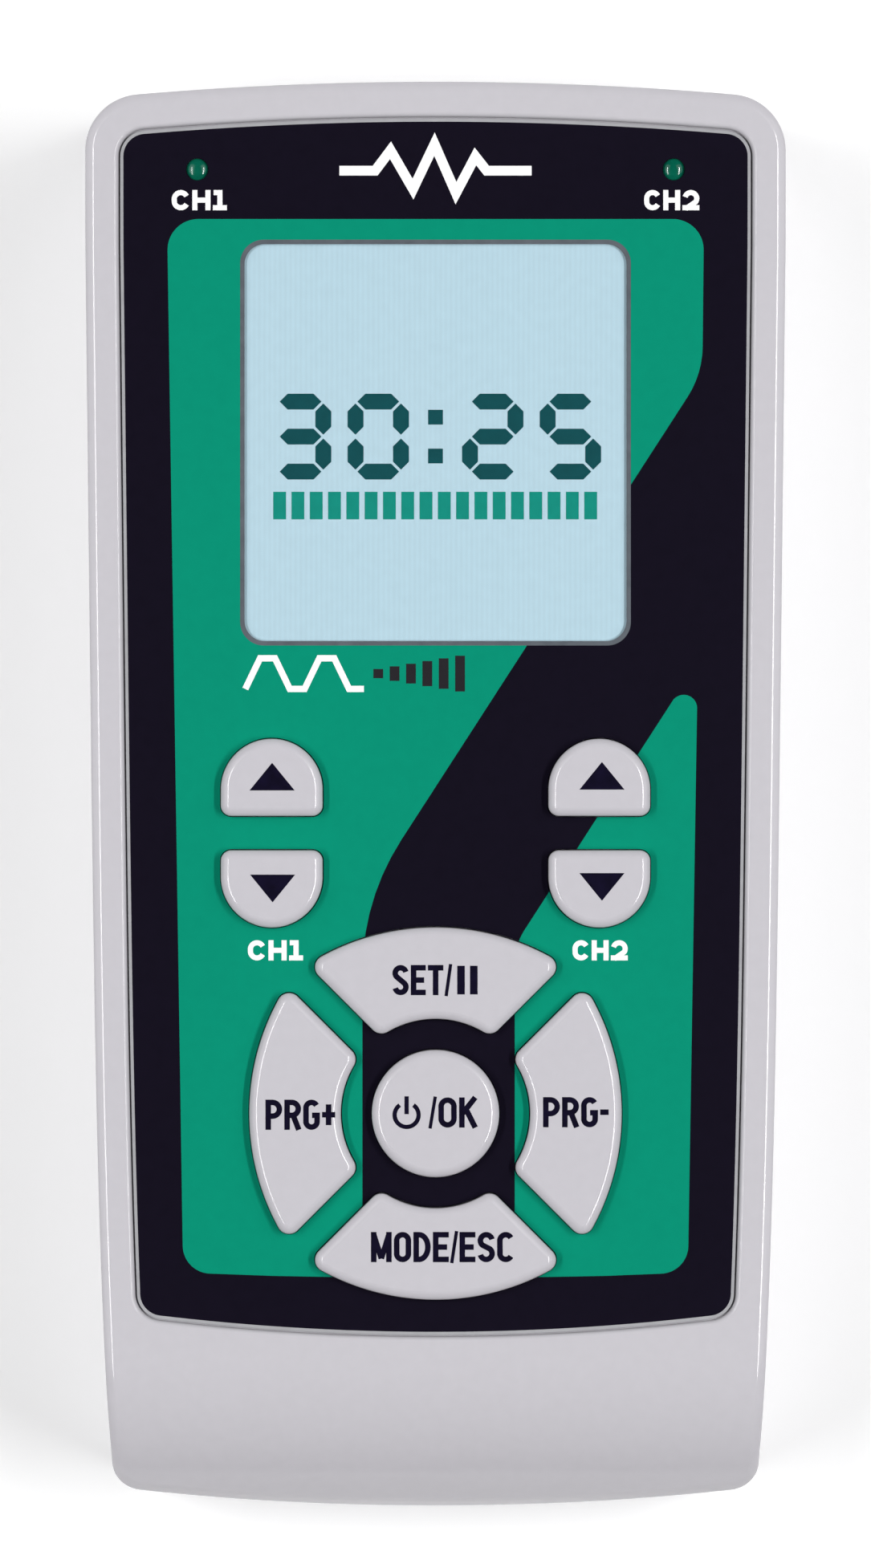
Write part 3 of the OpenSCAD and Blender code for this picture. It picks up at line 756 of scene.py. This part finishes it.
def film():
    loops = [film_outline(-FILM_BORDER)]
    loops += [key_outline(name, FILM_GAP) for name in KEY_PLACES]
    loops += [circle(s * LED[0], LED[1], LED_R, 40) for s in (-1, 1)]
    loops.append(window_hole())
    return paint(flat_shape("face_film", loops, FLOOR_Z, FILM_Z), FILM_DARK)


PANEL_EDGE = 8.0
PANEL_TOP = 56.57
PANEL_LOW = -46.6
BAND_SLOPE = 0.646
BAND_X = (-7.15, 7.75)


def diagonal_y(x, through):
    return through[1] + (x - through[0]) / BAND_SLOPE


def panel_left():
    """Green field that holds the window, channel 1 and the left key."""
    through = (24.38, 38.75)
    top_x = side_x(PANEL_TOP) - PANEL_EDGE
    right_x = 26.1
    low_x = side_x(PANEL_LOW) - PANEL_EDGE
    mid_x = (low_x + 7.15) / 2 + 4
    return rounded([
        (-top_x, PANEL_TOP, 3.0),
        (-low_x, PANEL_LOW + 0.1, 2.75),
        (-mid_x + 4, PANEL_LOW - 0.22, 0.0),
        (BAND_X[0], PANEL_LOW - 0.38, 0.0),
        (BAND_X[0], diagonal_y(BAND_X[0], through), 23.7),
        (right_x, diagonal_y(right_x, through), 9.3),
        (top_x, PANEL_TOP, 3.0),
    ])


def panel_right():
    """Green field that holds channel 2 and the right key."""
    through = (23.36, 9.7)
    right_x = 25.65
    low_x = side_x(PANEL_LOW) - PANEL_EDGE
    return rounded([
        (BAND_X[1], PANEL_LOW - 0.38, 0.0),
        (low_x - 8, PANEL_LOW - 0.22, 0.0),
        (low_x, PANEL_LOW + 0.1, 2.75),
        (right_x, diagonal_y(right_x, through), 1.3),
        (BAND_X[1], diagonal_y(BAND_X[1], through), 6.0),
    ])


def panel_print():
    """Thin green ink fields, cut round every hole of the film."""
    fields = [prism("field", points, FILM_Z - 0.01, FILM_Z + INK) for points in (panel_left(), panel_right())]
    tools = [prism("hole", key_outline(name, FILM_GAP), FILM_Z - PAST, FILM_Z + PAST) for name in KEY_PLACES]
    tools.append(prism("hole", window_hole(), FILM_Z - PAST, FILM_Z + PAST))
    green = join("panel_print", fields)
    return paint(cut(green, tools), FILM_GREEN)


# Print is sunk a little into what it is printed on, so that no faces lie in one plane
INK_SINK = 0.005
INK_LOW, INK_HIGH = FILM_Z + INK - INK_SINK, FILM_Z + 2 * INK
DARK_LOW, DARK_HIGH = FILM_Z - INK_SINK, FILM_Z + INK
LABEL_W = 5.4
LABEL_H = 1.98
LABEL_T = 0.5


def face_print():
    """White print on the film: a plain pulse sign, channel numbers, and a pulse row under the window."""
    parts = []
    wave = [
        (-9.4, 61.3), (-5.9, 61.3), (-4.4, 63.3), (-2.2, 59.5), (-0.1, 63.9), (2.0, 59.1), (3.9, 62.7),
        (5.0, 61.3), (9.4, 61.3),
    ]
    parts.append(flat_shape("pulse_sign", [strokes(wave, 0.95)], DARK_LOW, DARK_HIGH))
    for s, word in ((-1, "CH1"), (1, "CH2")):
        place = (s * 23.1, 58.42, LABEL_W, LABEL_H, LABEL_T)
        parts.append(lettering("label_" + word, word, *place, DARK_LOW, DARK_HIGH))
    for x, word in ((-15.65, "CH1"), (16.1, "CH2")):
        place = (x, -14.97, LABEL_W, LABEL_H, LABEL_T)
        parts.append(lettering("key_label_" + word, word, *place, INK_LOW, INK_HIGH))
    train = [(-18.6 + 1.45 * i, 10.6 + 3.0 * (((i + 1) // 2) % 2)) for i in range(9)]
    parts.append(flat_shape("pulse_row", [strokes(train, 0.62)], INK_LOW, INK_HIGH))
    return paint(join("face_print", parts), INK_WHITE)


def face_print_dark():
    """Dark bars that follow the white pulses."""
    bars = [rect(-5.6 + 1.6 * i, 12.1, 0.95, 0.9 + 0.52 * min(i, 5)) for i in range(6)]
    return paint(flat_shape("face_print_dark", bars, INK_LOW, INK_HIGH), INK_BLACK)


def film_border():
    """Bare edge of the film, outside its print."""
    loops = [film_outline(-FILM_BORDER), film_outline(0)]
    return paint(flat_shape("film_border", loops, FILM_Z - INK_SINK, FILM_Z + INK / 2), FILM_EDGE)


film_piece = film()
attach(film_piece, "unit")
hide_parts("face_overlay")
for piece in (film_border(), panel_print(), face_print(), face_print_dark()):
    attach(piece, "unit")

# ---------- display ----------

SCREEN_Z = FILM_Z - 0.4
PANE_GAP = 0.12


def window_parts():
    """Screen block in the window's place, a clear pane over it, and a thin grey ring round it, painted shade
    for the dark step at the window's opening edge.
    """
    face = rect(0, WINDOW_Y, WINDOW_W - 0.1, WINDOW_L - 0.1, 2.0)
    screen = prism("lcd_screen", face, WINDOW_LOW[2] + 0.1, SCREEN_Z)
    pane = prism("window_pane", rect(0, WINDOW_Y, WINDOW_W, WINDOW_L, 2.1), SCREEN_Z + PANE_GAP, FILM_Z)
    # Painted shade: a flat grey ring where the window's opening edge shows as a dark step
    loops = [rect(0, WINDOW_Y, WINDOW_W + 0.5, WINDOW_L + 0.5, 2.3),
             rect(0, WINDOW_Y, WINDOW_W - 0.35, WINDOW_L - 0.35, 2.0)]
    edge = flat_shape("window_step_shade", loops, FILM_Z - 0.004, FILM_Z + 2 * INK)
    return paint(screen, LCD_SCREEN), paint(pane, PANE), paint(edge, PAINTED_STEP_SHADE)


SEGMENTS = {"0": "abcdef", "1": "bc", "2": "abged", "3": "abgcd", "5": "afgcd"}


def digit(char, x, y, w, h, t):
    """Seven-segment digit as separate bars; x and y are its lower left corner."""
    g = t * 0.12
    half = h / 2
    flat = [("a", y + h - t / 2), ("g", y + half), ("d", y + t / 2)]
    left, right = x + t / 2, x + w - t / 2
    tall = [("f", left, y + half), ("b", right, y + half), ("e", left, y), ("c", right, y)]
    bars = []
    for key, cy in flat:
        if key in SEGMENTS[char]:
            a, b = x + t / 2 + g, x + w - t / 2 - g
            bars.append([(a, cy), (a + t / 2, cy - t / 2), (b - t / 2, cy - t / 2), (b, cy),
                         (b - t / 2, cy + t / 2), (a + t / 2, cy + t / 2)])
    for key, cx, low in tall:
        if key in SEGMENTS[char]:
            a, b = low + g + (t / 2 if low == y else 0), low + half - g - (0 if low == y else t / 2)
            bars.append([(cx, a), (cx + t / 2, a + t / 2), (cx + t / 2, b - t / 2), (cx, b),
                         (cx - t / 2, b - t / 2), (cx - t / 2, a + t / 2)])
    return bars


def screen_content():
    """Counting digits in dark teal and a green level row below them."""
    z0, z1 = SCREEN_Z - 0.004, SCREEN_Z + 0.03
    base, height, width, bar = 31.1, 8.4, 6.0, 1.55
    loops = []
    for char, x in zip("3025", (-16.2, -8.6, 2.6, 10.2)):
        loops += digit(char, x, base, width, height, bar)
    for dy in (2.3, 6.1):
        loops.append(rect(0.0, base + dy, 1.45, 1.45))
    dark = paint(flat_shape("screen_digits", loops, z0, z1), LCD_DARK)
    cells = [rect(-15.25 + 1.79 * i, 28.55, 1.25, 2.7) for i in range(18)]
    green = paint(flat_shape("screen_level", cells, z0, z1), LCD_GREEN)
    return dark, green


screen, pane, edge = window_parts()
for piece in (screen, pane, edge) + screen_content():
    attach(piece, "unit")
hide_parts("lcd_glass")
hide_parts("display_window")

# ---------- lamps ----------

LAMP_LOW = box_mm("led_ch1")[0][2]
LAMP_FIT = 0.04
LAMP_SINK = 0.12
LAMP_DOME = 0.55
LAMP_FLANGE_R = 1.45


def lamp(name, side):
    """Moulded lamp that fills its hole, with a low dome just under the film's surface."""
    x, y = side * LED[0], LED[1]
    r = LED_R - LAMP_FIT
    low, high, flange_top = LAMP_LOW, FILM_Z - LAMP_SINK, PLATE_Z - 1.2
    rings = [(LAMP_FLANGE_R, low), (LAMP_FLANGE_R, flange_top), (r, flange_top)]
    for i in range(9):
        t = math.radians(30 + i * 7)
        rings.append((r * math.cos(t) / math.cos(math.radians(30)), high - LAMP_DOME * (1 - math.sin(t))))
    outlines = [level(circle(x, y, radius, 48), z) for radius, z in rings]
    return paint(smooth(loft(name, outlines, strips=False), 40), LED_LENS)


for side, node in ((-1, "led_ch1"), (1, "led_ch2")):
    lens = lamp("lamp_" + node[-3:], side)
    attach(lens, "unit")
    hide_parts(node)

# ---------- keys ----------

KEY_WALL = 1.1
KEY_HOLLOW = 4.2
KEY_FLANGE = 0.6
KEY_FLANGE_T = 1.2
KEY_SWELL = 0.03


def key_piece(name):
    """Keycap with a rounded top edge, a flange inside the case and a hollow underside."""
    flange_top = KEY_LOW_Z + KEY_FLANGE_T
    rings = [(-KEY_WALL, KEY_LOW_Z + KEY_HOLLOW), (-KEY_WALL, KEY_LOW_Z), (KEY_FLANGE, KEY_LOW_Z),
             (KEY_FLANGE, flange_top), (KEY_SWELL, flange_top)]
    rings += [(KEY_SWELL - inset, KEY_TOP_Z - drop) for inset, drop in edge_profile(KEY_SLOPES)]
    outlines = [level(key_outline(name, grow), z) for grow, z in rings]
    cap = loft(name + "_cap", outlines, strips=False)
    return paint(smooth(cap, 50), KEY_PLASTIC)


LEGEND_LOW, LEGEND_HIGH = KEY_TOP_Z - 0.012, KEY_TOP_Z
LETTER_H = 2.95
LETTER_T = 0.54
TRIANGLE_W = 4.4
TRIANGLE_H = 2.7


def triangle(name, cx, cy, up):
    w, h = TRIANGLE_W / 2, up * TRIANGLE_H / 2
    points = [(cx - w, cy - h), (cx + w, cy - h), (cx, cy + h)]
    return flat_shape(name, [points], LEGEND_LOW, LEGEND_HIGH + INK)


# Up and down signs of the channel keys: centre, and 1 for up or -1 for down
TRIANGLES = {
    "key_ch1_up": (-15.95, 2.02, 1),
    "key_ch1_down": (-15.9, -8.9, -1),
    "key_ch2_up": (16.25, 2.1, 1),
    "key_ch2_down": (16.25, -8.75, -1),
}

# Words on the ring keys and the middle key: text, centre and width
WORDS = {
    "key_set_pause": ("SET/", -1.33, -17.85, 5.75),
    "key_prg_plus": ("PRG+", -13.2, -31.0, 6.8),
    "key_prg_minus": ("PRG-", 13.7, -30.75, 6.4),
    "key_mode_esc": ("MODE/ESC", 0.7, -43.92, 14.0),
    "key_power_ok": ("/OK", 1.75, CLUSTER_Y + 0.12, 4.7),
}


def legend(name):
    """Printed sign or word of one key."""
    low, high = LEGEND_LOW, LEGEND_HIGH + INK
    if name in TRIANGLES:
        return [triangle("mark", *TRIANGLES[name])]
    text, x, y, width = WORDS[name]
    word = lettering("mark", text, x, y, width, LETTER_H, LETTER_T, low, high)
    if name == "key_set_pause":
        return [word, flat_shape("mark", [rect(bar, y, 0.74, 2.8) for bar in (2.49, 3.74)], low, high)]
    if name == "key_power_ok":
        cx, cy = -2.82, CLUSTER_Y - 0.12
        ring = flat_shape("mark", [strokes(arc(cx, cy, 1.17, 125, 415, 40), 0.42)], low, high)
        bar = flat_shape("mark", [rect(cx, cy + 0.95, 0.42, 1.75)], low, high)
        return [ring, bar, word]
    return [word]


for key in KEY_PLACES:
    cap = key_piece(key)
    ink = paint(join(key + "_legend", legend(key)), INK_NAVY)
    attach(cap, key)
    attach(ink, key)
    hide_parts(key)

# ---------- rear shell and door ----------

SOCKET_X = 23.3
SOCKET_Z = 11.5
NOSE_HOLE_R = 3.35
SCREW_PLACES = [(s * x, y) for s in (-1, 1) for x, y in ((29.0, 48.0), (26.9, -58.0))]
COUNTERBORE_R = 2.6
COUNTERBORE_TOP = 2.9
SCREW_HOLE_R = 1.16
SCREW_SEAT_Z = 9.0
WELL_R = 3.7
WELL_LOW = 2.95
BAY = ((-21.5, 21.5), (-66.4, -12.4), (1.5, 5))
LABEL_WELL = (40.3, 34.3, 0.35)


def rear_block(name):
    rings = []
    for i in range(10):
        t = math.radians(i * 10)
        rings.append(level(case_outline(BACK_ROUND * (1 - math.sin(t))), BACK_ROUND * (1 - math.cos(t))))
    rings.append(level(case_outline(0), SEAM_Z - SEAM_ROUND))
    rings.append(level(case_outline(SEAM_ROUND), SEAM_Z))
    return loft(name, rings)


def block(name, x, y, z):
    return prism(name, [(x[0], y[0]), (x[1], y[0]), (x[1], y[1]), (x[0], y[1])], z[0], z[1])


def tube_y(name, x, z, r, y0, y1):
    ring = circle(x, z, r, 64)
    return loft(name, [[(px, y0, pz) for px, pz in ring], [(px, y1, pz) for px, pz in ring]], strips=False)


DOOR_LOW, DOOR_HIGH = box_mm("battery_door")
DOOR_W = 43.0
TONGUE = (1.05, 1.85)


def door_room(grow):
    plate = block("room", (-DOOR_W / 2 - grow, DOOR_W / 2 + grow), (-HALF_L - 2, DOOR_HIGH[1] + grow),
                  (-1, DOOR_HIGH[2] + grow))
    tongue = block("room", (DOOR_LOW[0] - grow, DOOR_HIGH[0] + grow), (-HALF_L - 3, DOOR_HIGH[1] + grow / 2),
                   (TONGUE[0] - grow / 2, TONGUE[1] + grow / 2))
    return plate, tongue


def rear_shell():
    shell = rear_block("rear_shell")
    inside = case_outline(WALL)
    tools = [loft("cavity", [level(inside, WALL + 1.0), level(inside, SEAM_Z + PAST)])]
    tools += door_room(0.15)
    tools.append(block("bay", *BAY))
    for x in (-SOCKET_X, 0, SOCKET_X):
        tools.append(tube_y("hole", x, SOCKET_Z, NOSE_HOLE_R, 66, 72))
    for x, y in SCREW_PLACES:
        tools.append(prism("hole", circle(x, y, COUNTERBORE_R, 48), -PAST, COUNTERBORE_TOP))
    tools.append(prism("hole", rect(0, 24, LABEL_WELL[0], LABEL_WELL[1], 1.5), -PAST, LABEL_WELL[2]))
    cut(shell, tools)
    return paint(smooth(shell), CASE_PLASTIC)


def screw_wells():
    """Counterbore tubes that carry the case screws inside the rear shell."""
    wells = []
    for x, y in SCREW_PLACES:
        rim = circle(x, y, WELL_R, 48)
        wells.append(flat_shape("well", [rim, circle(x, y, COUNTERBORE_R, 48)], WELL_LOW, SCREW_SEAT_Z))
        wells.append(flat_shape("well", [rim, circle(x, y, SCREW_HOLE_R, 24)], SCREW_SEAT_Z, SEAM_Z - 0.1))
    return paint(smooth(join("screw_wells", wells)), CASE_PLASTIC)


def door():
    plate = rear_block("door_panel")
    side, tongue = door_room(0)
    cut(side, [tongue], "UNION")
    cut(plate, [side], "INTERSECT")
    grooves = [rect(0, -60.5 + 2 * i, 18, 1.1, 0.5) for i in range(6)]
    tools = [prism("groove", points, -PAST, 0.45) for points in grooves]
    arrow = rounded([(-3.2, -46.6, 0.3), (3.2, -46.6, 0.3), (0, -49.6, 0.3)])
    tools.append(prism("arrow", arrow, -PAST, 0.35))
    cut(plate, tools)
    return paint(smooth(plate), CASE_PLASTIC)


rear = rear_shell()
wells = screw_wells()
door_panel = door()
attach(rear, "unit")
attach(wells, "unit")
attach(door_panel, "battery_door")
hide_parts("rear_case")
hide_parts("battery_door")

# ---------- materials of the CAD nodes that stay ----------

NODE_MATERIALS = {
    "display_gasket": GASKET,
    "lcd_backlight": LIGHT_GUIDE,
    "lcd_frame": BLACK_PLASTIC,
    "lcd_contact_strip": RUBBER_PINK,
    "key_switches": BLACK_PLASTIC,
    "switch_covers": STEEL,
    "main_board": BOARD,
    "output_jack_ch1": BLACK_PLASTIC,
    "output_jack_ch2": BLACK_PLASTIC,
    "charger_jack": BLACK_PLASTIC,
    "jack_contacts": BRASS,
    "microcontroller": BLACK_PLASTIC,
    "boost_coil": FERRITE,
    "pulse_transformers": TAPE,
    "capacitors": CAN_SLEEVE,
    "power_transistors": BLACK_PLASTIC,
    "buzzer": BLACK_PLASTIC,
    "battery_cells": STEEL,
    "battery_wrap": SLEEVE,
    "battery_links": STEEL,
    "battery_leads": WIRE,
    "battery_plug": CONNECTOR,
    "battery_socket": CONNECTOR,
    "case_screws": STEEL,
    "board_screws": STEEL,
    "rating_label": LABEL,
}
for name, mat in NODE_MATERIALS.items():
    paint(NODES[name], mat)
for name in NODES:
    if name.startswith("plunger_"):
        paint(NODES[name], BLACK_PLASTIC)
